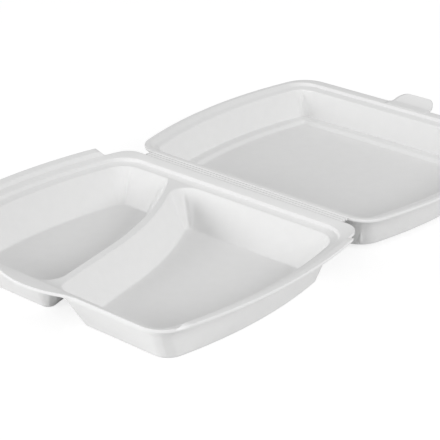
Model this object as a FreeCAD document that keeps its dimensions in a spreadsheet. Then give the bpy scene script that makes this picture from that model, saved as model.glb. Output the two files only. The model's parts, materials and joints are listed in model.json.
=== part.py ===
import FreeCAD, Part
import math
import os
import Sketcher
from FreeCAD import Vector

# A foam clamshell container, open and lying on its two undersides. X runs along the hinge, the
# two-compartment tray is on the -Y side, the lid on the +Y side, and Z is up from the table.
# Inside this document Z is measured from the rim plane, and the two bodies are lifted at the end.

doc = FreeCAD.newDocument("FoamClamshell")

# Driving sizes in millimetres and degrees. Runs and widths are measured level, falls downwards.
sizes = [
    # The foam sheet
    ("sheet", 2.5, "thickness of the foam sheet"),
    ("skinSpread", 1.1, "how far the lower skin stands outside the upper one"),
    ("depth", 30.0, "rim plane to underside, the same for tray and lid"),
    ("sideBend", 342.0, "plan radius of the bowed sides"),
    ("sideMiddle", 100.0, "hinge edge to the widest place of a side"),
    # Hinge strip
    ("hingeWidth", 7.2, "creased strip between the two rims"),
    ("hingeLength", 176.0, "length of the strip"),
    ("hingeThickness", 1.6, "pressed thickness of the strip"),
    ("hingeGap", 0.3, "slit between the halves of the strip"),
    ("creaseWidth", 0.7, "width of one crease"),
    ("creaseDepth", 0.5, "depth of one crease"),
    # Tray rim
    ("trayHalfWidth", 117.5, "centre line to the flange's outer edge"),
    ("trayLength", 191.5, "hinge edge to the front edge"),
    ("hingeCorner", 29.5, "plan radius of the corners by the hinge"),
    ("frontCorner", 19.0, "plan radius of the front corners"),
    ("flangeSide", 6.0, "flange width at the sides"),
    ("flangeHinge", 7.8, "flange width by the hinge"),
    ("flangeFront", 4.0, "flange width at the front"),
    ("flangeFall", 1.2, "fall of the flange towards the step"),
    ("crestWidth", 0.8, "flat crest at the flange's outer edge"),
    ("stepFall", 2.5, "height of the step inside the flange"),
    ("stepRun", 0.6, "lean of that step"),
    ("ledgeWidth", 5.0, "width of the inner ledge"),
    ("ledgeFall", 1.3, "fall of the ledge towards the compartments"),
    # Tray walls and divider
    ("wallRunSide", 12.1, "lean of the side walls over their height"),
    ("wallRunHinge", 14.5, "lean of the hinge-side wall"),
    ("wallRunFront", 10.5, "lean of the front wall"),
    ("ridgeWidth", 5.6, "width of the divider's ridge"),
    ("dividerRun", 12.9, "lean of the divider's walls"),
    ("dividerX", -3.0, "where the divider's two bends meet"),
    ("dividerY", -122.0, "where the divider's two bends meet"),
    ("dividerSlant", 10.2, "direction of the divider there, from the Y axis"),
    ("dividerBend", 246.0, "plan radius of the divider's hinge end"),
    ("dividerSwing", 605.0, "plan radius of the divider's front end"),
    ("ridgeCornerWide", 18.0, "plan radius where the ridge meets a rim at a wide angle"),
    ("ridgeCornerTight", 13.0, "plan radius where the ridge meets a rim at a narrow angle"),
    ("floorCornerShare", 0.4, "corner radius at the floor as a share of the one at the ledge"),
    # Raised side strips of the tray
    ("stripRise", 3.1, "height of the strip's inner edge over the flange"),
    ("stripLean", 1.0, "lean of the strip's inner face"),
    ("stripWidth", 5.4, "width of the strip"),
    ("stripSlope", 1.1, "rise of the strip towards its outer edge"),
    ("stripLength", 152.0, "length of the strip along the side"),
    # Front lip that the tab tucks under
    ("lipReach", 7.0, "how far the lip stands out of the front edge"),
    ("lipHalfWidth", 39.0, "centre line to where the lip runs out"),
    ("lipCrown", 40.0, "plan radius of the lip's middle"),
    # Lid
    ("lidHalfWidth", 116.8, "centre line to the lid's outer edge"),
    ("lidLength", 197.2, "hinge edge to the lid's far edge"),
    ("lidCorner", 22.0, "plan radius of the lid's corners"),
    ("lidFlangeSide", 3.3, "flat flange at the lid's sides and hinge"),
    ("lidFlangeFar", 7.4, "flat flange at the lid's far edge"),
    ("lidStepFall", 2.6, "height of the step inside the lid's flange"),
    ("lidStepRun", 1.6, "lean of that step"),
    ("lidLedgeSide", 4.6, "ledge width at the lid's sides and hinge"),
    ("lidLedgeFar", 5.7, "ledge width at the lid's far edge"),
    ("lidLedgeFall", 0.6, "fall of the lid's ledge"),
    ("lidWallSide", 4.6, "lean of the lid's side walls"),
    ("lidWallFar", 1.8, "lean of the lid's far wall"),
    ("lidWallCorner", 9.0, "plan radius of the lid's wall corners at their foot"),
    ("lidFlangeFall", 0.2, "fall of the lid's flange towards its step"),
    ("panelStepWidth", 5.6, "step round the lid's panel"),
    ("panelStepFall", 0.3, "fall of that step"),
    ("panelFall", 3.2, "fall from that step to the panel"),
    ("panelRun", 4.0, "lean of that fall"),
    ("panelCorner", 2.5, "plan radius of the panel's corners"),
    # Tab
    ("tabX", -3.7, "centre of the tab along the hinge direction"),
    ("tabWidth", 38.0, "width of the tab at its root"),
    ("tabReach", 20.5, "how far the tab stands out of the lid"),
    ("tabTaper", 4.0, "how much each side of the tab leans in"),
    ("tabCorner", 8.0, "plan radius of the tab's tip corners"),
    ("tabThickness", 1.8, "thickness of the tab"),
    # Roundings
    ("floorFillet", 4.0, "rounding between walls and floor"),
    ("rimFillet", 0.8, "rounding of the rims' edges"),
]

sheet = doc.addObject("Spreadsheet::Sheet", "Sizes")
for row, (alias, value, note) in enumerate(sizes, start=1):
    sheet.set("A%d" % row, alias)
    sheet.set("B%d" % row, str(value))
    sheet.set("C%d" % row, note)
    sheet.setAlias("B%d" % row, alias)
doc.recompute()


class Size:
    """A number together with the expression that gives it from the spreadsheet."""

    def __init__(self, value, text):
        self.value = value
        self.text = text

    def __add__(self, other):
        other = asSize(other)
        return Size(self.value + other.value, "(%s + %s)" % (self.text, other.text))

    def __sub__(self, other):
        other = asSize(other)
        return Size(self.value - other.value, "(%s - %s)" % (self.text, other.text))

    def __mul__(self, other):
        other = asSize(other)
        return Size(self.value * other.value, "(%s * %s)" % (self.text, other.text))

    def __truediv__(self, other):
        other = asSize(other)
        return Size(self.value / other.value, "(%s / %s)" % (self.text, other.text))

    def __neg__(self):
        return Size(-self.value, "(-%s)" % self.text)


def asSize(number):
    return number if isinstance(number, Size) else Size(float(number), repr(float(number)))


def cell(alias):
    return Size(float(sheet.get(alias)), "Sizes." + alias)


def cosine(angle):
    return Size(math.cos(math.radians(angle.value)), "cos(%s * 1deg)" % angle.text)


def sine(angle):
    return Size(math.sin(math.radians(angle.value)), "sin(%s * 1deg)" % angle.text)


# Closed outlines of lines and arcs, each tangent to the next.

class LevelSide:
    """A straight side along X. The outline's inside lies towards inward, +1 or -1 in Y."""

    def __init__(self, y, inward):
        self.y = y
        self.inward = inward

    def moved(self, distance):
        return ("line", self.y.value + self.inward * distance)

    def touch(self, point):
        return Vector(point.x, self.y.value, 0)


class BowedSide:
    """A side on a circle. The outline's inside lies inside the circle (+1) or outside (-1)."""

    def __init__(self, x, y, radius, inward):
        self.x = x
        self.y = y
        self.radius = radius
        self.inward = inward

    def centre(self):
        return Vector(self.x.value, self.y.value, 0)

    def moved(self, distance):
        return ("circle", self.centre(), self.radius.value - self.inward * distance)

    def touch(self, point):
        arm = point - self.centre()
        arm.Length = self.radius.value
        return self.centre() + arm


def meeting(first, second, near):
    """The point where two moved sides cross, the one nearest to a given point."""
    if first[0] == "line":
        first, second = second, first
    centre, radius = first[1], first[2]
    if second[0] == "line":
        rise = second[1] - centre.y
        reach = math.sqrt(radius ** 2 - rise ** 2)
        points = [Vector(centre.x + side * reach, second[1], 0) for side in (-1, 1)]
    else:
        arm = second[1] - centre
        along = (arm.Length ** 2 + radius ** 2 - second[2] ** 2) / (2 * arm.Length)
        across = math.sqrt(radius ** 2 - along ** 2)
        arm.normalize()
        points = [centre + arm * along + Vector(-arm.y, arm.x, 0) * side * across for side in (-1, 1)]
    return min(points, key=lambda point: point.distanceToPoint(near))


def arcBetween(centre, radius, start, end, leftTurn):
    """An arc from start to end, and which of its ends is the loop's start."""
    if not leftTurn:
        start, end = end, start
    angles = [math.atan2(point.y - centre.y, point.x - centre.x) for point in (start, end)]
    if angles[1] < angles[0]:
        angles[1] += 2 * math.pi
    arc = Part.ArcOfCircle(Part.Circle(centre, Vector(0, 0, 1), radius), angles[0], angles[1])
    return arc, (1, 2) if leftTurn else (2, 1)


def loopSketch(body, name, height, sides, corners):
    """A sketch of sides joined by corner arcs, counter-clockwise, level at a height.

    corners[i] is the radius and rough place of the corner after sides[i], or None where that
    side runs straight into the next one.
    """
    plane = next(f for f in body.Origin.OriginFeatures if f.Role == "XY_Plane")
    sketch = body.newObject("Sketcher::SketchObject", name)
    sketch.AttachmentSupport = [(plane, "")]
    sketch.MapMode = "FlatFace"
    sketch.setExpression(".AttachmentOffset.Base.z", height.text)

    count = len(sides)
    centres, ends, starts = [], [], [None] * count
    for i, (side, corner) in enumerate(zip(sides, corners)):
        following = sides[(i + 1) % count]
        if corner is None:
            between = following.centre() - side.centre()
            between.Length = side.radius.value
            point = side.centre() + between
            centres.append(None)
            ends.append(point)
            starts[(i + 1) % count] = point
        else:
            radius, near = corner
            centre = meeting(side.moved(radius.value), following.moved(radius.value), near)
            centres.append(centre)
            ends.append(side.touch(centre))
            starts[(i + 1) % count] = following.touch(centre)

    chain = []
    for i, side in enumerate(sides):
        if isinstance(side, LevelSide):
            index = sketch.addGeometry(Part.LineSegment(starts[i], ends[i]), False)
            sketch.addConstraint(Sketcher.Constraint("Horizontal", index))
            bind(sketch, Sketcher.Constraint("DistanceY", -1, 1, index, 1, side.y.value), side.y)
            chain.append((index, 1, 2))
        else:
            arc, order = arcBetween(side.centre(), side.radius.value, starts[i], ends[i],
                                    side.inward > 0)
            index = sketch.addGeometry(arc, False)
            bind(sketch, Sketcher.Constraint("DistanceX", -1, 1, index, 3, side.x.value), side.x)
            bind(sketch, Sketcher.Constraint("DistanceY", -1, 1, index, 3, side.y.value), side.y)
            # An arc that another one runs straight into gets its radius from that meeting.
            if corners[i - 1] is not None:
                bind(sketch, Sketcher.Constraint("Radius", index, side.radius.value), side.radius)
            chain.append((index,) + order)
        if centres[i] is not None:
            radius = corners[i][0]
            arc, order = arcBetween(centres[i], radius.value, ends[i], starts[(i + 1) % count], True)
            index = sketch.addGeometry(arc, False)
            bind(sketch, Sketcher.Constraint("Radius", index, radius.value), radius)
            chain.append((index,) + order)
    for i, (index, first, last) in enumerate(chain):
        following = chain[(i + 1) % len(chain)]
        sketch.addConstraint(Sketcher.Constraint("Tangent", index, last, following[0], following[1]))
    return sketch


def bind(sketch, constraint, size):
    index = sketch.addConstraint(constraint)
    sketch.setExpression("Constraints[%d]" % index, size.text)


def newBody(name):
    body = doc.addObject("PartDesign::Body", name)
    body.Label = name
    return body


def loft(body, name, kind, sketches):
    feature = body.newObject("PartDesign::" + kind, name)
    feature.Profile = sketches[0]
    feature.Sections = sketches[1:]
    feature.Ruled = True
    doc.recompute()
    return feature


# Plan outlines shared by the tray and the lid: a bowed tray shape, given by its four insets.

def plan(halfWidth, hingeEdge, farEdge, direction, insets, hingeRadius, farRadius):
    """Sides and corners of a bowed outline. direction is -1 for the tray and +1 for the lid."""
    side, hinge, far = insets
    middle = hingeEdge + cell("sideMiddle") * direction
    bend = cell("sideBend") - side
    offset = halfWidth - cell("sideBend")
    right = BowedSide(offset, middle, bend, 1)
    left = BowedSide(-offset, middle, bend, 1)
    near = LevelSide(hingeEdge + hinge * direction, direction)
    away = LevelSide(farEdge - far * direction, -direction)
    half = halfWidth.value
    spots = {"near": near.y.value, "away": away.y.value}
    if direction < 0:
        sides = [near, left, away, right]
        corners = [(hingeRadius, Vector(-half, spots["near"], 0)),
                   (farRadius, Vector(-half, spots["away"], 0)),
                   (farRadius, Vector(half, spots["away"], 0)),
                   (hingeRadius, Vector(half, spots["near"], 0))]
    else:
        sides = [near, right, away, left]
        corners = [(hingeRadius, Vector(half, spots["near"], 0)),
                   (farRadius, Vector(half, spots["away"], 0)),
                   (farRadius, Vector(-half, spots["away"], 0)),
                   (hingeRadius, Vector(-half, spots["near"], 0))]
    return sides, corners


zero = asSize(0)
spread = cell("skinSpread")
drop = -cell("sheet")


def pointSketch(body, name, role, offset, points, arcs=None):
    """A closed sketch through points. arcs gives (radius, side) for edges that are arcs: the
    side is +1 where the arc bulges to the right of its direction."""
    plane = next(f for f in body.Origin.OriginFeatures if f.Role == role)
    sketch = body.newObject("Sketcher::SketchObject", name)
    sketch.AttachmentSupport = [(plane, "")]
    sketch.MapMode = "FlatFace"
    for axis, size in zip("xyz", offset):
        sketch.setExpression(".AttachmentOffset.Base." + axis, size.text)
    count = len(points)
    places = [Vector(x.value, y.value, 0) for x, y in points]
    chain = []
    for i in range(count):
        start, end = places[i], places[(i + 1) % count]
        radius, side = (arcs or {}).get(i, (None, 0))
        if radius is None:
            index = sketch.addGeometry(Part.LineSegment(start, end), False)
            chain.append((index, 1, 2))
            continue
        chord = end - start
        height = math.sqrt(radius.value ** 2 - chord.Length ** 2 / 4)
        chord.normalize()
        centre = (start + end) * 0.5 + Vector(-chord.y, chord.x, 0) * side * height
        arc, order = arcBetween(centre, radius.value, start, end, side > 0)
        index = sketch.addGeometry(arc, False)
        bind(sketch, Sketcher.Constraint("Radius", index, radius.value), radius)
        chain.append((index,) + order)
    for i, (index, first, last) in enumerate(chain):
        x, y = points[i]
        following = chain[(i + 1) % count]
        sketch.addConstraint(Sketcher.Constraint("Coincident", index, last, following[0], following[1]))
        bind(sketch, Sketcher.Constraint("DistanceX", -1, 1, index, first, x.value), x)
        bind(sketch, Sketcher.Constraint("DistanceY", -1, 1, index, first, y.value), y)
    return sketch


def extrude(body, name, kind, sketch, length, reversed=False):
    feature = body.newObject("PartDesign::" + kind, name)
    feature.Profile = sketch
    feature.setExpression("Length", length.text)
    feature.Reversed = reversed
    doc.recompute()
    return feature


def roundEdges(body, name, radius, wanted):
    """A fillet on the edges of the tip that the function wanted picks out."""
    tip = body.Tip
    names = ["Edge%d" % (i + 1) for i, edge in enumerate(tip.Shape.Edges) if wanted(edge)]
    feature = body.newObject("PartDesign::Fillet", name)
    feature.Base = (tip, names)
    feature.setExpression("Radius", radius.text)
    doc.recompute()
    return feature


def levelAt(edge, height):
    box = edge.BoundBox
    return box.ZLength < 0.01 and abs(box.ZMin - height) < 0.01


# Base tray. Its skin is given by rings from the compartments outwards: insets from the rim's
# edge at side, hinge and front, the height, and how much of the corner radius they have lost.

flangeInsets = (cell("flangeSide"), cell("flangeHinge"), cell("flangeFront"))
stepInsets = tuple(inset + cell("stepRun") for inset in flangeInsets)
ledgeInsets = tuple(inset + cell("ledgeWidth") for inset in stepInsets)
wallRuns = (cell("wallRunSide"), cell("wallRunHinge"), cell("wallRunFront"))
floorInsets = tuple(inset + run for inset, run in zip(ledgeInsets, wallRuns))
flangeHeight = -cell("flangeFall")
stepHeight = flangeHeight - cell("stepFall")
ledgeHeight = stepHeight - cell("ledgeFall")
floorHeight = cell("sheet") - cell("depth")
edgeRing = ((zero,) * 3, zero, zero)
trayRings = [
    (ledgeInsets, ledgeHeight, cell("flangeSide") + cell("stepRun") + cell("ledgeWidth")),
    (stepInsets, stepHeight, cell("flangeSide") + cell("stepRun")),
    (flangeInsets, flangeHeight, cell("flangeSide")),
    ((cell("crestWidth"),) * 3, zero, cell("crestWidth")),
]
frontShare = 0.8
ledgeCornerHinge = cell("hingeCorner") - trayRings[0][2]
ledgeCornerFront = cell("frontCorner") - trayRings[0][2] * frontShare


def trayRing(body, name, ring, grow, fall):
    insets, height, loss = ring
    insets = tuple(inset - grow for inset in insets)
    sides, corners = plan(cell("trayHalfWidth"), zero, -cell("trayLength"), -1, insets,
                          cell("hingeCorner") - loss + grow,
                          cell("frontCorner") - loss * frontShare + grow)
    return loopSketch(body, name, height + fall, sides, corners)


def compartmentRing(body, name, side, insets, fromRidge, height, cornerShare, grow):
    """One compartment's outline. side is -1 for the left one and +1 for the right one."""
    insets = tuple(inset - grow for inset in insets)
    fromRidge = fromRidge - grow
    slant = cell("dividerSlant")
    joinX, joinY = cell("dividerX"), cell("dividerY")
    bend, swing = cell("dividerBend"), cell("dividerSwing")
    hingeArc = BowedSide(joinX - bend * cosine(slant), joinY - bend * sine(slant),
                         bend + fromRidge * side, -side)
    frontArc = BowedSide(joinX + swing * cosine(slant), joinY + swing * sine(slant),
                         swing - fromRidge * side, side)
    halfWidth = cell("trayHalfWidth")
    outer = BowedSide((halfWidth - cell("sideBend")) * side, -cell("sideMiddle"),
                      cell("sideBend") - insets[0], 1)
    near = LevelSide(-insets[1], -1)
    away = LevelSide(insets[2] - cell("trayLength"), 1)
    hingeCorner = ledgeCornerHinge * cornerShare + grow
    frontCorner = ledgeCornerFront * cornerShare + grow
    wide = cell("ridgeCornerWide") * cornerShare + grow
    tight = cell("ridgeCornerTight") * cornerShare + grow
    nearY, awayY = near.y.value, away.y.value
    edgeX = halfWidth.value * side
    atHinge = hingeArc.x.value + hingeArc.radius.value * math.cos(
        math.asin((nearY - hingeArc.y.value) / hingeArc.radius.value))
    atFront = frontArc.x.value - frontArc.radius.value * math.cos(
        math.asin((awayY - frontArc.y.value) / frontArc.radius.value))
    outerNear = (hingeCorner, Vector(edgeX, nearY, 0))
    outerAway = (frontCorner, Vector(edgeX, awayY, 0))
    if side < 0:
        sides = [near, outer, away, frontArc, hingeArc]
        corners = [outerNear, outerAway, (tight, Vector(atFront, awayY, 0)), None,
                   (wide, Vector(atHinge, nearY, 0))]
    else:
        sides = [near, hingeArc, frontArc, away, outer]
        corners = [(tight, Vector(atHinge, nearY, 0)), None, (wide, Vector(atFront, awayY, 0)),
                   outerAway, outerNear]
    return loopSketch(body, name, height, sides, corners)


def compartment(body, name, kind, side, grow, fall):
    ridge = cell("ridgeWidth") * 0.5
    floor = compartmentRing(body, name + "Floor", side, floorInsets, ridge + cell("dividerRun"),
                            floorHeight + fall, cell("floorCornerShare"), grow)
    top = compartmentRing(body, name + "Top", side, ledgeInsets, ridge, ledgeHeight + fall,
                          asSize(1), grow)
    return loft(body, name, kind, [floor, top])


def sideStrips(body):
    """The raised strip along each side, turned about the centre of the side's bow."""
    bend, rise = cell("sideBend"), cell("stripRise")
    inner = bend + cell("stripLean")
    outer = inner + cell("stripWidth")
    top = rise + cell("stripSlope")
    root = bend - cell("crestWidth")
    points = [(root, zero), (root, drop * 0.8), (bend + spread, drop), (inner + spread, rise + drop),
              (outer + spread, top + drop), (outer, top), (inner, rise), (bend, zero)]
    offset = (cell("trayHalfWidth") - bend, zero, cell("sideMiddle"))
    section = pointSketch(body, "stripSection", "XZ_Plane", offset, points)
    strip = body.newObject("PartDesign::Revolution", "strip")
    strip.Profile = section
    strip.ReferenceAxis = (section, ["V_Axis"])
    strip.Midplane = True
    strip.setExpression("Angle", "2 * asin(Sizes.stripLength / 2 / Sizes.sideBend)")
    doc.recompute()
    mirror = body.newObject("PartDesign::Mirrored", "stripMirror")
    mirror.Originals = [strip]
    plane = next(f for f in body.Origin.OriginFeatures if f.Role == "YZ_Plane")
    mirror.MirrorPlane = (plane, [""])
    body.Tip = mirror
    doc.recompute()


def frontLip(body):
    """The bowed lip in the middle of the front edge, a crown between two reverse bends."""
    rings = []
    for name, grow, height in (("lipLower", spread, drop), ("lipUpper", zero, zero)):
        halfWidth = cell("lipHalfWidth") + grow
        reach = cell("lipReach")
        edge = -cell("trayLength") - grow
        crown = cell("lipCrown") + grow
        bothBends = (halfWidth * halfWidth + reach * reach) / (reach * 2)
        share = crown / bothBends
        turnX, turnY = halfWidth * share, edge - reach + reach * share
        back = -cell("trayLength") + cell("flangeFront") * 0.5
        points = [(halfWidth, back), (-halfWidth, back), (-halfWidth, edge), (-turnX, turnY),
                  (turnX, turnY), (halfWidth, edge)]
        arcs = {2: (bothBends - crown, -1), 3: (crown, 1), 4: (bothBends - crown, -1)}
        rings.append(pointSketch(body, name, "XY_Plane", (zero, zero, height), points, arcs))
    return loft(body, "frontLip", "AdditiveLoft", rings)


def hingeHalf(body, direction):
    """Half of the creased strip. direction is +1 on the tray and -1 on the lid."""
    half = cell("hingeLength") * 0.5
    root = cell("hingeWidth") * (0 if direction > 0 else 1) - cell("crestWidth") * 0.5 * direction
    slit = (cell("hingeWidth") - cell("hingeGap") * direction) * 0.5
    points = [(-half, root), (half, root), (half, slit), (-half, slit)]
    plate = pointSketch(body, "hingePlate", "XY_Plane", (zero, zero, -cell("hingeThickness")), points)
    extrude(body, "hingeStrip", "Pad", plate, cell("hingeThickness"))
    for number, share in enumerate((0.14, 0.36)):
        middle = cell("hingeWidth") * (share if direction > 0 else 1 - share)
        low, high = middle - cell("creaseWidth") * 0.5, middle + cell("creaseWidth") * 0.5
        points = [(-half, low), (half, low), (half, high), (-half, high)]
        groove = pointSketch(body, "creasePlan%d" % number, "XY_Plane", (zero, zero, zero), points)
        extrude(body, "crease%d" % number, "Pocket", groove, cell("creaseDepth"))


def buildTray():
    body = newBody("base_tray")
    lower = [trayRing(body, "lowerRing%d" % i, ring, spread, drop)
             for i, ring in enumerate(trayRings[:-1])]
    lower.append(trayRing(body, "lowerEdge", edgeRing, spread, drop))
    lower.append(trayRing(body, "upperEdge", edgeRing, zero, zero))
    loft(body, "rimBlock", "AdditiveLoft", lower)
    compartment(body, "leftShell", "AdditiveLoft", -1, spread, drop)
    compartment(body, "rightShell", "AdditiveLoft", 1, spread, drop)
    sideStrips(body)
    frontLip(body)
    hingeHalf(body, 1)
    upper = [trayRing(body, "upperRing%d" % i, ring, zero, zero) for i, ring in enumerate(trayRings)]
    loft(body, "rimRecess", "SubtractiveLoft", upper)
    compartment(body, "leftHollow", "SubtractiveLoft", -1, zero, zero)
    compartment(body, "rightHollow", "SubtractiveLoft", 1, zero, zero)
    return body


# Lid. Its rings run from the outer edge inwards, with insets at side, hinge and far edge.

def lidRings():
    side, far = cell("lidFlangeSide"), cell("lidFlangeFar")
    height = -cell("lidFlangeFall")
    radius = cell("lidCorner") - side
    rings = [((side, side, far), height, radius)]
    side, far = side + cell("lidStepRun"), far + cell("lidStepRun")
    height = height - cell("lidStepFall")
    radius = radius - cell("lidStepRun")
    rings.append(((side, side, far), height, radius))
    side, far = side + cell("lidLedgeSide"), far + cell("lidLedgeFar")
    height = height - cell("lidLedgeFall")
    radius = radius - cell("lidLedgeSide")
    rings.append(((side, side, far), height, radius))
    side, far = side + cell("lidWallSide"), far + cell("lidWallFar")
    stepHeight = floorHeight + cell("panelFall")
    rings.append(((side, side, far), stepHeight + cell("panelStepFall"), cell("lidWallCorner")))
    side, far = side + cell("panelStepWidth"), far + cell("panelStepWidth")
    rings.append(((side, side, far), stepHeight, cell("panelCorner") + cell("panelRun") * 0.25))
    side, far = side + cell("panelRun"), far + cell("panelRun")
    rings.append(((side, side, far), floorHeight, cell("panelCorner")))
    return rings[::-1]


def lidRing(body, name, ring, grow, fall):
    insets, height, radius = ring
    insets = tuple(inset - grow for inset in insets)
    hingeEdge = cell("hingeWidth")
    sides, corners = plan(cell("lidHalfWidth"), hingeEdge, hingeEdge + cell("lidLength"), 1,
                          insets, radius + grow, radius + grow)
    return loopSketch(body, name, height + fall, sides, corners)


def tab(body):
    """The tongue at the middle of the lid's far edge."""
    farEdge = cell("hingeWidth") + cell("lidLength")
    middle, half = cell("tabX"), cell("tabWidth") * 0.5
    root, tip = farEdge - cell("lidFlangeFar") * 0.5, farEdge + cell("tabReach")
    narrow = half - cell("tabTaper")
    points = [(middle - half, root), (middle + half, root), (middle + narrow, tip),
              (middle - narrow, tip)]
    outline = pointSketch(body, "tabPlan", "XY_Plane", (zero, zero, -cell("tabThickness")), points)
    extrude(body, "tab", "Pad", outline, cell("tabThickness"))
    roundEdges(body, "tabCorners", cell("tabCorner"),
               lambda edge: edge.BoundBox.YMin > tip.value - 0.01 and edge.BoundBox.XLength < 0.01)


def buildLid():
    body = newBody("lid")
    rings = lidRings()
    lower = [lidRing(body, "lowerRing%d" % i, ring, spread, drop) for i, ring in enumerate(rings)]
    outer = ((zero,) * 3, zero, cell("lidCorner"))
    lower.append(lidRing(body, "lowerEdge", outer, spread, drop))
    lower.append(lidRing(body, "upperEdge", outer, zero, zero))
    loft(body, "lidBlock", "AdditiveLoft", lower)
    tab(body)
    hingeHalf(body, -1)
    upper = [lidRing(body, "upperRing%d" % i, ring, zero, zero) for i, ring in enumerate(rings)]
    top = (rings[-1][0], zero, rings[-1][2])
    upper.append(lidRing(body, "recessTop", top, zero, zero))
    loft(body, "lidHollow", "SubtractiveLoft", upper)
    return body


tray = buildTray()
lid = buildLid()

# The open container stands on its two undersides, with the origin under the middle of its box.
middleY = (cell("hingeWidth") + cell("lidLength") + cell("tabReach")
           - cell("trayLength") - cell("lipReach") - spread) * 0.5
for body in (tray, lid):
    body.setExpression(".Placement.Base.y", (-middleY).text)
    body.setExpression(".Placement.Base.z", cell("depth").text)
doc.recompute()

for thing in doc.Objects:
    if "Invalid" in thing.State or "Error" in thing.State:
        raise RuntimeError("%s failed to build" % thing.Name)
for body in (tray, lid):
    if body.Shape.isNull() or not body.Shape.isValid() or len(body.Shape.Solids) != 1:
        raise RuntimeError("%s is not one valid solid" % body.Label)

os.makedirs("parts", exist_ok=True)
for body in (tray, lid):
    body.Shape.exportStep("parts/%s.step" % body.Label)
    print(body.Label, round(body.Shape.Volume), body.Shape.BoundBox)
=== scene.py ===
import json
import math
import bmesh
import bpy
import numpy as np
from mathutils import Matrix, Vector


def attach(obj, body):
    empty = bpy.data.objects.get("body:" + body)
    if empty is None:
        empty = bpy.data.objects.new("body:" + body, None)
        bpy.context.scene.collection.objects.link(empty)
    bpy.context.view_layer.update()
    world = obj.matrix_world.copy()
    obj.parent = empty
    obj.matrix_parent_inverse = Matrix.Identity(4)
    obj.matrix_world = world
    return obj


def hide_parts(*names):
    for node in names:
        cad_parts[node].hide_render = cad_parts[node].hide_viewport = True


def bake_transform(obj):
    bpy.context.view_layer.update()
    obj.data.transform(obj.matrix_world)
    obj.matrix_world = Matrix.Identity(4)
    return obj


# A foam clamshell container, open and flat on a white table. Places are in metres. The sizes of
# the moulded shells are in millimetres, measured from the tray's hinge edge and the rim plane.

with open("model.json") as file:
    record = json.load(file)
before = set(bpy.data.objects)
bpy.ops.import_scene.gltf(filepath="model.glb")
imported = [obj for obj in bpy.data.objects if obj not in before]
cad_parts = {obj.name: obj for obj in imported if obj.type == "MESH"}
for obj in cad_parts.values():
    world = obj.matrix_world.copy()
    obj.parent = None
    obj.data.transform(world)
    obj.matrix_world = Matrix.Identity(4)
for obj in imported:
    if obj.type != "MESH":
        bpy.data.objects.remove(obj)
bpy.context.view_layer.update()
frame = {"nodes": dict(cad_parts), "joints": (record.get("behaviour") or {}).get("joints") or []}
scene = bpy.context.scene
perMetre = 1000.0  # millimetres
scene.view_settings.view_transform = "Standard"

# Camera: what it looks at, and where it stands round that spot
cameraSetup = {
    "lookAt": (0.0276, -0.0633, 0.030),
    "azimuth": 41.14,
    "elevation": 24.44,
    "distance": 1.0733,
    "lens": 134.71,
    "sensor": 36.0,
    "clipStart": 0.05,
}


def fromAngles(azimuth, elevation):  # azimuth 0 is towards -Y, and 90 towards +X
    side, up = math.radians(azimuth), math.radians(elevation)
    return Vector((math.sin(side) * math.cos(up), -math.cos(side) * math.cos(up), math.sin(up)))


def addCamera():
    data = bpy.data.cameras.new("camera")
    data.lens = cameraSetup["lens"]
    data.sensor_width = cameraSetup["sensor"]
    data.clip_start = cameraSetup["clipStart"]
    camera = bpy.data.objects.new("camera", data)
    away = fromAngles(cameraSetup["azimuth"], cameraSetup["elevation"])
    camera.location = Vector(cameraSetup["lookAt"]) + away * cameraSetup["distance"]
    camera.rotation_euler = away.to_track_quat("Z", "Y").to_euler()
    scene.collection.objects.link(camera)
    scene.camera = camera


lamps = {
    "key": {"azimuth": -20.0, "elevation": 14.0, "distance": 1.8, "size": 0.8, "power": 15.6},
    "fill": {"azimuth": 95.0, "elevation": 30.0, "distance": 1.8, "size": 0.8, "power": 12.3},
}


def addLamps():
    for name, lamp in lamps.items():
        data = bpy.data.lights.new(name, "AREA")
        data.shape = "DISK"
        data.size = lamp["size"]
        data.energy = lamp["power"]
        away = fromAngles(lamp["azimuth"], lamp["elevation"])
        light = bpy.data.objects.new(name, data)
        light.location = away * lamp["distance"]
        light.rotation_euler = away.to_track_quat("Z", "Y").to_euler()
        scene.collection.objects.link(light)


stage = {
    "size": 8.0,
    "roomLevel": 0.56,
    "roomSeen": 1.0,  # for the camera alone, as are the table's glow and seen colour
    "tableColour": 0.8,
    "tableGlow": 0.78,
    "tableSeen": 0.3,
}


def newMaterial(name):
    material = bpy.data.materials.new(name)
    material.use_nodes = True
    tree = material.node_tree
    tree.nodes.clear()
    return material, tree


def grey(level):
    return (level, level, level, 1.0)


def addRoom():
    world = bpy.data.worlds.new("room")
    world.use_nodes = True
    tree = world.node_tree
    tree.nodes.clear()
    path = tree.nodes.new("ShaderNodeLightPath")
    mix = tree.nodes.new("ShaderNodeMixShader")
    out = tree.nodes.new("ShaderNodeOutputWorld")
    tree.links.new(path.outputs["Is Camera Ray"], mix.inputs[0])
    for number, level in ((1, stage["roomLevel"]), (2, stage["roomSeen"])):
        glow = tree.nodes.new("ShaderNodeBackground")
        glow.inputs["Color"].default_value = grey(1.0)
        glow.inputs["Strength"].default_value = level
        tree.links.new(glow.outputs[0], mix.inputs[number])
    tree.links.new(mix.outputs[0], out.inputs["Surface"])
    scene.world = world


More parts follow.
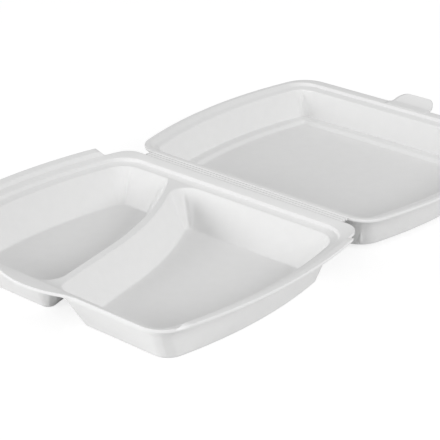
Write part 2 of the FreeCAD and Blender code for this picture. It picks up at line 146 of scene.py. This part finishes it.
def tableMaterial():
    material, tree = newMaterial("table")
    path = tree.nodes.new("ShaderNodeLightPath")
    plain = tree.nodes.new("ShaderNodeBsdfDiffuse")
    plain.inputs["Color"].default_value = grey(stage["tableColour"])
    seen = tree.nodes.new("ShaderNodeBsdfDiffuse")
    seen.inputs["Color"].default_value = grey(stage["tableSeen"])
    glow = tree.nodes.new("ShaderNodeEmission")
    glow.inputs["Strength"].default_value = stage["tableGlow"]
    both = tree.nodes.new("ShaderNodeAddShader")
    mix = tree.nodes.new("ShaderNodeMixShader")
    out = tree.nodes.new("ShaderNodeOutputMaterial")
    tree.links.new(seen.outputs[0], both.inputs[0])
    tree.links.new(glow.outputs[0], both.inputs[1])
    tree.links.new(path.outputs["Is Camera Ray"], mix.inputs[0])
    tree.links.new(plain.outputs[0], mix.inputs[1])
    tree.links.new(both.outputs[0], mix.inputs[2])
    tree.links.new(mix.outputs[0], out.inputs["Surface"])
    return material


def addTable():
    half = stage["size"] / 2
    mesh = bpy.data.meshes.new("table")
    corners = [(-half, -half, 0), (half, -half, 0), (half, half, 0), (-half, half, 0)]
    mesh.from_pydata(corners, [], [(0, 1, 2, 3)])
    mesh.materials.append(tableMaterial())
    table = bpy.data.objects.new("table", mesh)
    scene.collection.objects.link(table)


foam = {
    "pale": (0.804, 0.804, 0.802, 1.0),
    "deep": (0.793, 0.793, 0.791, 1.0),
    "mottleScale": 140.0,
    "mottleDetail": 4.0,
    "mottleRange": (0.35, 0.65),  # where the noise is deep, and where it is pale
    "beadScale": 620.0,
    "beadHeight": 0.0004,  # metres
    "beadStrength": 0.1,
    "roughness": 0.62,
    "specular": 0.3,
}


# Expanded foam: a faint mottle, and the low bumps of its beads.
def foamMaterial():
    material, tree = newMaterial("foam")
    place = tree.nodes.new("ShaderNodeTexCoord").outputs["Object"]
    mottle = tree.nodes.new("ShaderNodeTexNoise")
    mottle.inputs["Scale"].default_value = foam["mottleScale"]
    mottle.inputs["Detail"].default_value = foam["mottleDetail"]
    tone = tree.nodes.new("ShaderNodeValToRGB")
    stops = zip(tone.color_ramp.elements, foam["mottleRange"], (foam["deep"], foam["pale"]))
    for stop, position, colour in stops:
        stop.position = position
        stop.color = colour
    beads = tree.nodes.new("ShaderNodeTexVoronoi")
    beads.feature = "SMOOTH_F1"
    beads.inputs["Scale"].default_value = foam["beadScale"]
    bump = tree.nodes.new("ShaderNodeBump")
    bump.invert = True
    bump.inputs["Strength"].default_value = foam["beadStrength"]
    bump.inputs["Distance"].default_value = foam["beadHeight"]
    shader = tree.nodes.new("ShaderNodeBsdfPrincipled")
    shader.inputs["Roughness"].default_value = foam["roughness"]
    shader.inputs["Specular IOR Level"].default_value = foam["specular"]
    out = tree.nodes.new("ShaderNodeOutputMaterial")
    tree.links.new(place, mottle.inputs["Vector"])
    tree.links.new(place, beads.inputs["Vector"])
    tree.links.new(mottle.outputs[0], tone.inputs[0])
    tree.links.new(beads.outputs["Distance"], bump.inputs["Height"])
    tree.links.new(tone.outputs["Color"], shader.inputs["Base Color"])
    tree.links.new(bump.outputs[0], shader.inputs["Normal"])
    tree.links.new(shader.outputs[0], out.inputs["Surface"])
    return material


# What both shells share. Plan points are (x, s), with s the distance from the shell's hinge edge.
sheet = {
    "thickness": 2.5,
    "rimThickness": 2.1,
    "spread": 1.1,  # how far the lower skin stands outside the upper one
    "depth": 30.0,
    "sideBend": 342.0,
    "sideMiddle": 100.0,
    "hingeWidth": 7.2,
    "axisRise": 0.15,  # hinge axis over the rim plane
    "edgeRound": 1.3,  # how far from an edge its rounding starts
    "rimRound": 0.55,
    "roundLimit": 0.48,  # the most that a rounding takes of the bands beside it
    "rimEdge": (0.35, 0.65),  # where the rim's outer edge is straight, as shares of its thickness
    "floorShares": (0.85, 0.6, 0.35, 0.1),
    "leastRadius": 0.3,
    "crowding": 1.2,  # over 1, a corner's points stand closer at its middle
    "weld": 0.002,  # points closer than this become one
}

# How many points each stretch of a ring gets
counts = {"corner": 33, "side": 91, "straight": 31, "gap": 9, "ridge": 31, "round": 5, "wall": 9}

# The upright groove in each moulded corner
flute = {"depth": 1.3, "underDepth": 0.3, "width": 1.5, "fadeTop": 0.3, "fadeFoot": 0.1}


# Points from start to end round a centre, the shorter way. middle over 1 crowds its middle.
def shortArc(centre, start, end, count, middle=1.0):
    first = math.atan2(start[1] - centre[1], start[0] - centre[0])
    last = math.atan2(end[1] - centre[1], end[0] - centre[0])
    turn = (last - first + math.pi) % (2 * math.pi) - math.pi
    even = np.linspace(-1, 1, count)
    angles = first + turn * (0.5 + 0.5 * np.sign(even) * np.abs(even) ** middle)
    radius = math.dist(centre, start)
    return centre + radius * np.column_stack((np.cos(angles), np.sin(angles)))


def cornerArc(centre, start, end):
    return shortArc(centre, start, end, counts["corner"], sheet["crowding"])


def levelLine(start, end, s, count):
    return np.column_stack((np.linspace(start, end, count), np.full(count, s)))


# The +X side of a ring, from the near straight round both corners to the far straight.
def outerSide(shape, insets, radii):
    side, near, far = insets
    middle = (shape["halfWidth"] - sheet["sideBend"], sheet["sideMiddle"])
    bend = sheet["sideBend"] - side
    corners = []
    for level, towards, radius in ((near, 1, radii[0]), (shape["length"] - far, -1, radii[1])):
        radius = max(radius, sheet["leastRadius"])
        s = level + towards * radius
        reach = math.sqrt((bend - radius) ** 2 - (s - middle[1]) ** 2)
        centre = (middle[0] + reach, s)
        share = bend / (bend - radius)
        touch = (middle[0] + reach * share, middle[1] + (s - middle[1]) * share)
        corners.append((centre, (centre[0], level), touch))
    (nearCentre, nearFoot, nearTouch), (farCentre, farFoot, farTouch) = corners
    return np.vstack((
        cornerArc(nearCentre, nearFoot, nearTouch)[:-1],
        shortArc(middle, nearTouch, farTouch, counts["side"])[:-1],
        cornerArc(farCentre, farTouch, farFoot),
    ))


# A whole ring. gaps are the x where the straights are divided: near left and right, far.
def ringPlan(shape, insets, radii, gaps):
    right = outerSide(shape, insets, radii)
    left = right[::-1] * (-1, 1)
    nearS, farS = right[0][1], right[-1][1]
    nearLeft, nearRight, farLeft, farRight = gaps
    return np.vstack((
        levelLine(nearRight, right[0][0], nearS, counts["straight"])[:-1],
        right[:-1],
        levelLine(right[-1][0], farRight, farS, counts["straight"])[:-1],
        levelLine(farRight, farLeft, farS, counts["gap"])[:-1],
        levelLine(farLeft, left[0][0], farS, counts["straight"])[:-1],
        left[:-1],
        levelLine(left[-1][0], nearLeft, nearS, counts["straight"])[:-1],
        levelLine(nearLeft, nearRight, nearS, counts["gap"])[:-1],
    ))


# A plan ring at a height, or at a height for each point.
def raised(plan, z):
    return np.column_stack((plan, np.broadcast_to(z, len(plan))))


# The rings with each inner one replaced by a rounding that starts that far away from it.
def roundRings(rings, rounds):
    out = [rings[0]]
    for before, ring, after, size in zip(rings, rings[1:], rings[2:], rounds):
        back, ahead = before - ring, after - ring
        backLength = np.linalg.norm(back, axis=1, keepdims=True)
        aheadLength = np.linalg.norm(ahead, axis=1, keepdims=True)
        reach = np.minimum(size, sheet["roundLimit"] * np.minimum(backLength, aheadLength))
        start = ring + back / backLength * reach
        end = ring + ahead / aheadLength * reach
        for t in np.linspace(0, 1, counts["round"]):
            out.append(start * (1 - t) ** 2 + ring * 2 * t * (1 - t) + end * t * t)
    out.append(rings[-1])
    return out


# Rings between two rings of a wall, pressed outwards at the middle of each corner.
def fluted(top, foot, corners, depth):
    rings = []
    outwards = top[:, :2] - top[:, :2].mean(axis=0)
    for share in np.linspace(0, 1, counts["wall"] + 2)[1:-1]:
        ring = top * (1 - share) + foot * share
        along = np.roll(ring, -1, axis=0)[:, :2] - np.roll(ring, 1, axis=0)[:, :2]
        normal = np.column_stack((along[:, 1], -along[:, 0]))
        normal /= np.linalg.norm(normal, axis=1, keepdims=True)
        normal *= np.sign((normal * outwards).sum(axis=1, keepdims=True))
        walked = np.append(0, np.cumsum(np.linalg.norm(np.diff(ring[:, :2], axis=0), axis=1)))
        fade = min(1, share / flute["fadeTop"]) * min(1, (1 - share) / flute["fadeFoot"])
        for corner in corners:
            away = (walked - walked[corner]) / flute["width"]
            ring[:, :2] += normal * (depth * fade * np.exp(-away ** 2))[:, None]
        rings.append(ring)
    return rings


# Collects rings and grids of points and makes one closed mesh of them.
class Skin:
    def __init__(self):
        self.points = []
        self.faces = []

    def addPoints(self, points):
        first = len(self.points)
        self.points.extend(map(tuple, points))
        return list(range(first, first + len(points)))

    # Quads between rows of point numbers.
    def joinRows(self, rows, closed):
        for low, high in zip(rows, rows[1:]):
            count = len(low)
            for i in range(count if closed else count - 1):
                j = (i + 1) % count
                self.faces.append((low[i], low[j], high[j], high[i]))

    def addRings(self, rings):
        self.joinRows([self.addPoints(ring) for ring in rings], True)

    def addGrid(self, grid):
        self.joinRows([self.addPoints(row) for row in grid], False)

    # Rings that shrink to the middle of a ring and close there.
    def addFloor(self, ring):
        middle = ring.mean(axis=0)
        rows = [self.addPoints(middle + (ring - middle) * share)
                for share in (1.0,) + sheet["floorShares"]]
        self.joinRows(rows, True)
        pole = self.addPoints([middle])[0]
        last = rows[-1]
        for i in range(len(last)):
            self.faces.append((last[i], last[(i + 1) % len(last)], pole))

    # The mesh in metres. direction is +1 for a shell on the +Y side of its hinge edge.
    def build(self, name, edge, direction):
        mesh = bpy.data.meshes.new(name)
        points = [placed(x, edge + s * direction, z) for x, s, z in self.points]
        mesh.from_pydata(points, [], self.faces)
        shape = bmesh.new()
        shape.from_mesh(mesh)
        bmesh.ops.remove_doubles(shape, verts=shape.verts, dist=sheet["weld"] / perMetre)
        bmesh.ops.recalc_face_normals(shape, faces=shape.faces)
        for face in shape.faces:
            face.smooth = True
        unmatched = sum(1 for line in shape.edges if len(line.link_faces) != 2)
        print("  ", name, "faces", len(shape.faces), "edges not between two faces", unmatched)
        shape.to_mesh(mesh)
        shape.free()
        piece = bpy.data.objects.new(name, mesh)
        scene.collection.objects.link(piece)
        return piece


hinge = Vector(frame["joints"][0]["pos_m"]) * perMetre
trayEdgeY = hinge.y - sheet["hingeWidth"] / 2
rimHeight = hinge.z - sheet["axisRise"]


# Metres in the frame, from millimetres at the tray's hinge edge and the rim plane.
def placed(x, y, z):
    return (x / perMetre, (y + trayEdgeY) / perMetre, (z + rimHeight) / perMetre)


tray = {
    "halfWidth": 117.5,
    "length": 191.0,
    "edgeCorner": 13.0,
    "hingeCorner": 24.0,
    "frontCorner": 19.0,
    "cornerShare": (0.6, 0.8),  # how much of an inset the corners lose, at the hinge and in front
    "flange": (6.0, 7.8, 4.0),  # widths at side, hinge and front
    "flangeFall": 1.2,
    "crest": 0.8,
    "crestShare": 0.4,  # how much of it is left beside a strip
    "step": 0.6,
    "stepFall": 2.5,
    "ledge": 5.0,
    "ledgeFall": 1.3,
    "wallRound": 2.6,
    "wallRun": {-1: (15.0, 16.0, 10.5), 1: (6.5, 16.0, 10.5)},  # by side of the divider
    "ridgeWidth": 5.6,
    "dividerRun": 12.9,
    "divider": (-3.0, 122.0),  # where its two bends meet
    "dividerSlant": 10.2,  # degrees, there
    "dividerBend": {-1: 268.0, 1: 246.0},  # by side, so that the ridge narrows at the hinge
    "dividerSwing": (2500.0, 590.0),  # at the ridge and at the floor
    "ridgeCorner": {-1: (6.0, 13.0), 1: (13.0, 9.0)},  # by side, at the hinge and in front
    "floorCorner": (7.0, 11.0, 4.0),  # at the hinge, the front and the divider
    "fluteShares": (0.3, 0.5, 0.5, 0.6),  # where along each corner its groove stands
    "floorRound": 5.0,
}

strip = {
    "lean": 1.0,  # how far out its top begins
    "rise": 3.1,
    "width": 5.4,
    "slope": 1.1,  # how much higher its outer edge is
    "full": 151.0,  # its length at full height
    "ramp": 5.0,
    "inner": 0.8,  # it stands only outside this share of the half width
    "footShare": 0.8,  # where it meets the rim's underside, as a share of the rim's thickness
}

lip = {"reach": 7.6, "halfWidth": 42.0, "crown": 75.0, "x": -2.0}


# How far the lip stands out: a crown between two reverse bends.
def lipBulge(x):
    away = np.abs(x - lip["x"])
    bends = (lip["halfWidth"] ** 2 + lip["reach"] ** 2) / (2 * lip["reach"])
    reverse = bends - lip["crown"]
    turn = lip["halfWidth"] * lip["crown"] / bends
    near = lip["reach"] - lip["crown"] + np.sqrt(lip["crown"] ** 2 - np.minimum(away, turn) ** 2)
    left = np.clip(lip["halfWidth"] - away, 0, lip["halfWidth"] - turn)
    far = reverse - np.sqrt(reverse ** 2 - left ** 2)
    return np.where(away < turn, near, far)


# 1 where a side strip stands at full height, 0 where there is none, with ramps between.
def stripShare(plan):
    run = np.abs(plan[:, 1] - sheet["sideMiddle"]) - strip["full"] / 2
    share = 1 - np.clip(run / strip["ramp"], 0, 1)
    share[np.abs(plan[:, 0]) < tray["halfWidth"] * strip["inner"]] = 0
    return (share * share * (3 - 2 * share))[:, None]


# The insets of some bands, added up at side, hinge and far edge.
def summed(shape, *names):
    total = np.zeros(3)
    for name in names:
        total = total + shape[name]
    return total


def cornerRadii(shape, lost, grow):
    hingeShare, frontShare = shape["cornerShare"]
    atHinge = shape["hingeCorner"] - lost * hingeShare if lost else shape["edgeCorner"]
    return atHinge + grow, shape["frontCorner"] - lost * frontShare + grow


# The divider's side of a compartment, from the front straight to the hinge straight.
def dividerSide(side, near, far, fromRidge, radii):
    slant = math.radians(tray["dividerSlant"])
    joinX, joinS = tray["divider"]
    bend, swing = tray["dividerBend"][side], tray["dividerSwing"][fromRidge > tray["ridgeWidth"]]
    hingeMiddle = (joinX - bend * math.cos(slant), joinS + bend * math.sin(slant))
    frontMiddle = (joinX + swing * math.cos(slant), joinS - swing * math.sin(slant))
    hingeRadius = bend + fromRidge * side
    frontRadius = swing - fromRidge * side
    nearRadius, farRadius = (max(radius, sheet["leastRadius"]) for radius in radii)

    s = near + nearRadius
    reach = hingeRadius + side * nearRadius
    nearCentre = (hingeMiddle[0] + math.sqrt(reach ** 2 - (s - hingeMiddle[1]) ** 2), s)
    nearTouch = [m + (c - m) * hingeRadius / reach for m, c in zip(hingeMiddle, nearCentre)]

    s = far - farRadius
    reach = frontRadius - side * farRadius
    farCentre = (frontMiddle[0] - math.sqrt(reach ** 2 - (s - frontMiddle[1]) ** 2), s)
    farTouch = [m + (c - m) * frontRadius / reach for m, c in zip(frontMiddle, farCentre)]

    join = (joinX + fromRidge * side * math.cos(slant), joinS - fromRidge * side * math.sin(slant))
    return np.vstack((
        cornerArc(farCentre, (farCentre[0], far), farTouch)[:-1],
        shortArc(frontMiddle, farTouch, join, counts["ridge"])[:-1],
        shortArc(hingeMiddle, join, nearTouch, counts["ridge"])[:-1],
        cornerArc(nearCentre, nearTouch, (nearCentre[0], near)),
    ))


# A compartment's ring, from the hinge straight round the outside and back by the divider.
def compartmentPlan(side, insets, fromRidge, outerRadii, ridgeRadii, grow):
    insets = np.array(insets) - grow
    near, far = insets[1], tray["length"] - insets[2]
    outer = outerSide(tray, insets, [radius + grow for radius in outerRadii]) * (side, 1)
    ridge = dividerSide(side, near, far, fromRidge - grow, [radius + grow for radius in ridgeRadii])
    return np.vstack((
        levelLine(ridge[-1][0], outer[0][0], near, counts["straight"])[:-1],
        outer[:-1],
        levelLine(outer[-1][0], ridge[0][0], far, counts["straight"])[:-1],
        ridge[:-1],
    ))


# The numbers of the points where a compartment's wall has its grooves.
def compartmentCorners():
    corner = counts["corner"] - 1
    first = counts["straight"] - 1
    second = first + corner + counts["side"] - 1
    third = second + corner + counts["straight"] - 1
    fourth = third + corner + 2 * (counts["ridge"] - 1)
    return [number + round(corner * share)
            for number, share in zip((first, second, third, fourth), tray["fluteShares"])]


def buildTray():
    flangeZ = -tray["flangeFall"]
    stepZ = flangeZ - tray["stepFall"]
    ledgeZ = stepZ - tray["ledgeFall"]
    floorZ = sheet["thickness"] - sheet["depth"]
    flangeIn = summed(tray, "flange")
    stepIn = summed(tray, "flange", "step")
    ledgeIn = summed(tray, "flange", "step", "ledge")
    ridge = tray["ridgeWidth"] / 2
    hingeFloor, frontFloor, dividerFloor = tray["floorCorner"]
    soft = sheet["edgeRound"]
    atEdge = np.zeros(3)
    ledgeRadii = cornerRadii(tray, ledgeIn[0], 0)
    skin = Skin()

    # Adds a compartment's wall and floor, and gives the ring that its rim joins.
    def compartment(side, grow, fall):
        atLedge = (side, ledgeIn, ridge, ledgeRadii, tray["ridgeCorner"][side])
        atFloor = (side, ledgeIn + tray["wallRun"][side], ridge + tray["dividerRun"],
                   (hingeFloor, frontFloor), (dividerFloor, dividerFloor))
        rim = raised(compartmentPlan(*atLedge, grow + soft), ledgeZ + fall)
        top = raised(compartmentPlan(*atLedge, grow), ledgeZ + fall)
        foot = raised(compartmentPlan(*atFloor, grow), floorZ + fall)
        floor = raised(compartmentPlan(*atFloor, grow - tray["floorRound"]), floorZ + fall)
        wall = fluted(top, foot, compartmentCorners(), flute["underDepth" if grow else "depth"])
        rings = [*roundRings([rim, top, wall[0]], [tray["wallRound"]]), *wall[1:-1],
                 *roundRings([wall[-1], foot, floor], [tray["floorRound"]])]
        skin.addRings(rings)
        skin.addFloor(rings[-1])
        return rim

    # The level top of the divider between the compartments' rims.
    def ridgeTop(left, right):
        shared = len(left) - (2 * counts["corner"] + 2 * counts["ridge"] - 4)
        rows = [np.vstack((rim[shared:], rim[:1])) for rim in (left, right)]
        shares = np.linspace(0, 1, counts["gap"])[:, None, None]
        skin.addGrid(rows[0] + (rows[1] - rows[0]) * shares)
        return (rows[0][-1][0], rows[1][-1][0], rows[0][0][0], rows[1][0][0])

    spread, drop, thin = sheet["spread"], -sheet["thickness"], -sheet["rimThickness"]
    gaps = ridgeTop(compartment(-1, 0, 0), compartment(1, 0, 0))
    lowGaps = ridgeTop(compartment(-1, spread, drop), compartment(1, spread, drop))

    def ring(insets, z, lost, grow, ringGaps, bulge=False):
        plan = ringPlan(tray, np.array(insets) - grow, cornerRadii(tray, lost, grow), ringGaps)
        if bulge:
            far = plan[:, 1] > tray["length"] - tray["frontCorner"]
            plan[far, 1] += lipBulge(plan[far, 0])
        return raised(plan, z)

    # The outer edge: its gaps, and (offset, height) where it is plain and where a strip stands
    crest, lean, rise = tray["crest"], strip["lean"], strip["rise"]
    outer, top, back = lean + strip["width"], rise + strip["slope"], -thin
    upper, lower = (thin * share for share in sheet["rimEdge"])
    edge = [
        (gaps, (-crest, 0), (-crest * tray["crestShare"], 0)),
        (gaps, (0, 0), (lean, rise)),
        (gaps, (0, upper), (outer, top)),
        (gaps, (0, lower), (outer, top + thin)),
        (lowGaps, (0, thin), (lean + back, rise + thin)),
        (lowGaps, (-crest, thin), (back * strip["footShare"], thin)),
    ]
    edgeRings = []
    for edgeGaps, plain, standing in edge:
        first, second = (ring(atEdge, height, 0, offset, edgeGaps, True)
                         for offset, height in (plain, standing))
        edgeRings.append(first + (second - first) * stripShare(first))

    rings = [
        ring(ledgeIn, ledgeZ, ledgeIn[0], soft, gaps),
        ring(stepIn, stepZ, stepIn[0], 0, gaps),
        ring(flangeIn, flangeZ, flangeIn[0], 0, gaps),
        *edgeRings,
        ring(flangeIn, flangeZ + thin, flangeIn[0], spread, lowGaps),
        ring(stepIn, stepZ + drop, stepIn[0], spread, lowGaps),
        ring(ledgeIn, ledgeZ + drop, ledgeIn[0], spread + soft, lowGaps),
    ]
    skin.addRings(roundRings(rings, [sheet["rimRound"]] * (len(rings) - 2)))
    return skin.build("foam_tray", 0, -1)


lid = {
    "halfWidth": 116.6,
    "length": 197.2,
    "edgeCorner": 20.0,
    "hingeCorner": 19.0,
    "frontCorner": 22.0,
    "cornerShare": (0.7, 0.8),
    "flange": (3.3, 4.5, 7.6),  # widths at side, hinge and far edge, as for the bands inside it
    "flangeFall": 0.2,
    "step": (4.0, 2.0, 1.0),
    "stepFall": 2.2,
    "ledge": (4.2, 3.2, 6.4),
    "ledgeFall": 0.9,
    "wallRun": (4.6, 3.6, 1.8),
    "wallRound": 1.4,
    "wallCorner": (18.0, 4.0),  # at the hinge and at the far edge
    "footIn": 1.6,  # how far the outside's foot stands in, and up, from an even thickness
    "footUp": 0.5,
    "footRound": (1.0, 3.2),  # inside and outside
    "border": 6.6,
    "borderFall": 0.3,
    "borderRound": 1.0,
    "panelRun": 3.0,
    "panelFall": 2.3,
    "panelCorner": (12.0, 1.2),
    "panelRound": 1.2,
    "panelMargin": 2.5,
    "gap": 6.0,
}

tab = {
    "x": -2.2,
    "halfWidth": 17.2,
    "taper": 1.0,
    "reach": 13.5,
    "root": 6.0,  # how far it runs into the rim
    "tipRound": 8.0,
    "rootRound": 1.5,
    "bendStart": 2.5,
    "bendRise": 4.1,
    "bendPower": 1.4,
    "thickness": 1.8,
    "lift": 0.02,  # over the rim, so that it covers the rim's rounded edge
    "rows": 41,
    "columns": 21,
}


# Half the tab's width and its height, at a distance from the lid's far edge.
def tabRow(y):
    half = tab["halfWidth"] - tab["taper"] * max(0, y) / tab["reach"]
    over = max(0, y - (tab["reach"] - tab["tipRound"]))
    half -= tab["tipRound"] - math.sqrt(max(0, tab["tipRound"] ** 2 - over ** 2))
    under = min(tab["rootRound"], max(0, tab["rootRound"] - y))
    half += tab["rootRound"] - math.sqrt(max(0, tab["rootRound"] ** 2 - under ** 2))
    share = max(0, y - tab["bendStart"]) / (tab["reach"] - tab["bendStart"])
    return half, tab["bendRise"] * share ** tab["bendPower"]


# The tongue at the lid's far edge, bent up here. The real tongue turns down when the lid closes;
# this one keeps its bend.
def addTab(skin):
    even = np.linspace(0, 1, tab["rows"])
    rows = []
    for y in -tab["root"] + (tab["root"] + tab["reach"]) * np.sin(even * math.pi / 2):
        half, z = tabRow(y)
        x = tab["x"] + np.linspace(-half, half, tab["columns"])
        rows.append(np.column_stack((x, np.full(len(x), lid["length"] + y), np.full(len(x), z))))
    upper = np.array(rows) + (0, 0, tab["lift"])
    lower = upper - (0, 0, tab["thickness"])
    skin.addGrid(upper)
    skin.addGrid(lower)
    rims = [np.vstack((side[0], side[1:, -1], side[-1, -2::-1], side[-2:0:-1, 0]))
            for side in (upper, lower)]
    skin.addRings(rims)


# The numbers of the points in the middle of the lid's corners.
def lidCorners():
    half, corner = counts["corner"] // 2, counts["corner"] - 1
    nearRight = counts["straight"] - 1 + half
    farRight = nearRight + corner + counts["side"] - 1
    farLeft = farRight + corner + 2 * (counts["straight"] - 1) + counts["gap"] - 1
    nearLeft = farLeft + corner + counts["side"] - 1
    return nearRight, farRight, farLeft, nearLeft


def buildLid():
    flangeZ = -lid["flangeFall"]
    stepZ = flangeZ - lid["stepFall"]
    ledgeZ = stepZ - lid["ledgeFall"]
    floorZ = sheet["thickness"] - sheet["depth"]
    borderZ = floorZ + lid["panelFall"]
    flangeIn = summed(lid, "flange")
    stepIn = summed(lid, "flange", "step")
    ledgeIn = summed(lid, "flange", "step", "ledge")
    footIn = ledgeIn + lid["wallRun"]
    panelIn = footIn + lid["border"]
    floorIn = panelIn + lid["panelRun"]
    gaps = (-lid["gap"], lid["gap"], -lid["gap"], lid["gap"])
    spread, drop, thin = sheet["spread"], -sheet["thickness"], -sheet["rimThickness"]
    skin = Skin()

    def ring(insets, z, radii, grow):
        return raised(ringPlan(lid, np.array(insets) - grow, [r + grow for r in radii], gaps), z)

    footRadii, panelRadii = lid["wallCorner"], lid["panelCorner"]

    # Adds the wall, border and panel, and gives the two rings that the rim joins.
    def inside(grow, fall, foot):
        under = grow > 0
        ledge = ring(ledgeIn, ledgeZ + fall, cornerRadii(lid, ledgeIn[0], 0), grow)
        footZ = borderZ + lid["borderFall"] + fall + lid["footUp"] * under
        wallFoot = ring(footIn + lid["footIn"] * under, footZ, footRadii, grow)
        wall = fluted(ledge, wallFoot, lidCorners(), flute["underDepth" if under else "depth"])
        border = ring(panelIn, borderZ + fall, panelRadii, grow)
        panel = ring(floorIn, floorZ + fall, panelRadii, grow)
        floor = ring(floorIn, floorZ + fall, panelRadii, grow - lid["panelMargin"])
        rings = [*wall[:-1], *roundRings([wall[-1], wallFoot, border, panel, floor],
                                         (foot, lid["borderRound"], lid["panelRound"]))]
        skin.addRings(rings)
        skin.addFloor(rings[-1])
        return ledge, wall[0]

    ledge, wallTop = inside(0, 0, lid["footRound"][0])
    lowLedge, lowWallTop = inside(spread, drop, lid["footRound"][1])
    atEdge, outerRadii = np.zeros(3), cornerRadii(lid, 0, 0)
    stepRadii, flangeRadii = (cornerRadii(lid, inset[0], 0) for inset in (stepIn, flangeIn))
    rings = [
        wallTop, ledge,
        ring(stepIn, stepZ, stepRadii, 0),
        ring(flangeIn, flangeZ, flangeRadii, 0),
        ring(atEdge, 0, outerRadii, 0),
        ring(atEdge, thin, outerRadii, 0),
        ring(flangeIn, flangeZ + thin, flangeRadii, spread),
        ring(stepIn, stepZ + drop, stepRadii, spread),
        lowLedge, lowWallTop,
    ]
    rounds = [sheet["rimRound"]] * (len(rings) - 2)
    rounds[0] = rounds[-1] = lid["wallRound"]
    skin.addRings(roundRings(rings, rounds))
    addTab(skin)
    return skin.build("foam_lid", sheet["hingeWidth"], 1)


hingeStrip = {
    "length": 176.0,
    "overlap": 0.6,  # how far it runs into each rim
    "thickness": 1.5,
    "sink": 0.06,
    "creases": 3,
    "creaseDepth": 0.4,
    "creaseSharpness": 1.2,  # over 1, the grooves narrow and what stands between them widens
    "columns": 90,
    "rows": 85,
}


# Geometry Nodes for the hinge: a level grid with even grooves along it.
def creaseTree():
    tree = bpy.data.node_groups.new("hingeCreases", "GeometryNodeTree")
    face = tree.interface
    face.new_socket("Geometry", in_out="OUTPUT", socket_type="NodeSocketGeometry")
    sockets = {}
    for name, kind in (("Length", "Float"), ("Width", "Float"), ("Creases", "Float"),
                       ("Depth", "Float"), ("Sharpness", "Float"), ("Columns", "Int"),
                       ("Rows", "Int"), ("Place", "Vector"), ("Foam", "Material")):
        socket = face.new_socket(name, in_out="INPUT", socket_type="NodeSocket" + kind)
        sockets[name] = socket.identifier
    given = tree.nodes.new("NodeGroupInput")
    out = tree.nodes.new("NodeGroupOutput")
    grid = tree.nodes.new("GeometryNodeMeshGrid")
    for name, target in (("Length", "Size X"), ("Width", "Size Y"), ("Columns", "Vertices X"),
                         ("Rows", "Vertices Y")):
        tree.links.new(given.outputs[name], grid.inputs[target])

    def calculate(operation, *values):
        node = tree.nodes.new("ShaderNodeMath")
        node.operation = operation
        for number, value in enumerate(values):
            if isinstance(value, float):
                node.inputs[number].default_value = value
            else:
                tree.links.new(value, node.inputs[number])
        return node.outputs[0]

    place = tree.nodes.new("GeometryNodeInputPosition")
    parts = tree.nodes.new("ShaderNodeSeparateXYZ")
    tree.links.new(place.outputs[0], parts.inputs[0])
    across = calculate("DIVIDE", parts.outputs["Y"], given.outputs["Width"])
    turns = calculate("MULTIPLY", calculate("ADD", across, 0.5), given.outputs["Creases"])
    wave = calculate("ABSOLUTE", calculate("SINE", calculate("MULTIPLY", turns, math.pi)))
    groove = calculate("POWER", wave, given.outputs["Sharpness"])
    lower = calculate("MULTIPLY", calculate("MULTIPLY", groove, given.outputs["Depth"]), -1.0)
    offset = tree.nodes.new("ShaderNodeCombineXYZ")
    tree.links.new(lower, offset.inputs["Z"])
    shift = tree.nodes.new("ShaderNodeVectorMath")
    tree.links.new(offset.outputs[0], shift.inputs[0])
    tree.links.new(given.outputs["Place"], shift.inputs[1])
    move = tree.nodes.new("GeometryNodeSetPosition")
    tree.links.new(grid.outputs["Mesh"], move.inputs["Geometry"])
    tree.links.new(shift.outputs[0], move.inputs["Offset"])
    smooth = tree.nodes.new("GeometryNodeSetShadeSmooth")
    tree.links.new(move.outputs[0], smooth.inputs["Geometry"])
    real = tree.nodes.new("GeometryNodeRealizeInstances")
    tree.links.new(smooth.outputs[0], real.inputs[0])
    finish = tree.nodes.new("GeometryNodeSetMaterial")
    tree.links.new(real.outputs[0], finish.inputs["Geometry"])
    tree.links.new(given.outputs["Foam"], finish.inputs["Material"])
    tree.links.new(finish.outputs[0], out.inputs[0])
    return tree, sockets


def buildHinge(material):
    tree, sockets = creaseTree()
    maker = bpy.data.objects.new("hingeMaker", bpy.data.meshes.new("hingeMaker"))
    scene.collection.objects.link(maker)
    creases = maker.modifiers.new("creases", "NODES")
    creases.node_group = tree
    width = sheet["hingeWidth"] + 2 * hingeStrip["overlap"]
    settings = {
        "Length": hingeStrip["length"] / perMetre,
        "Width": width / perMetre,
        "Creases": float(hingeStrip["creases"]),
        "Depth": hingeStrip["creaseDepth"] / perMetre,
        "Sharpness": hingeStrip["creaseSharpness"],
        "Columns": hingeStrip["columns"],
        "Rows": hingeStrip["rows"],
        "Place": placed(0, sheet["hingeWidth"] / 2, -hingeStrip["sink"]),
        "Foam": material,
    }
    for name, value in settings.items():
        creases[sockets[name]] = value
    thicken = maker.modifiers.new("thicken", "SOLIDIFY")
    thicken.thickness = hingeStrip["thickness"] / perMetre
    thicken.offset = -1
    bpy.context.view_layer.update()
    made = maker.evaluated_get(bpy.context.evaluated_depsgraph_get())
    mesh = bpy.data.meshes.new_from_object(made)
    mesh.name = "hinge_strip"
    piece = bpy.data.objects.new("hinge_strip", mesh)
    bpy.data.objects.remove(maker)
    scene.collection.objects.link(piece)
    print("   hinge_strip faces", len(mesh.polygons))
    return piece


print("stage: camera, lamps and table")
addCamera()
addLamps()
addRoom()
addTable()

print("stage: foam")
foamSkin = foamMaterial()
for node in frame["nodes"].values():
    for slot in node.material_slots:
        slot.material = foamSkin

for shellName, build, body, node in (("tray", buildTray, "base", "base_tray"),
                                     ("lid", buildLid, "lid", "lid")):
    print("stage:", shellName)
    shell = build()
    shell.data.materials.append(foamSkin)
    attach(shell, body)
    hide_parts(node)

print("stage: hinge")
strap = buildHinge(foamSkin)
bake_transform(strap)
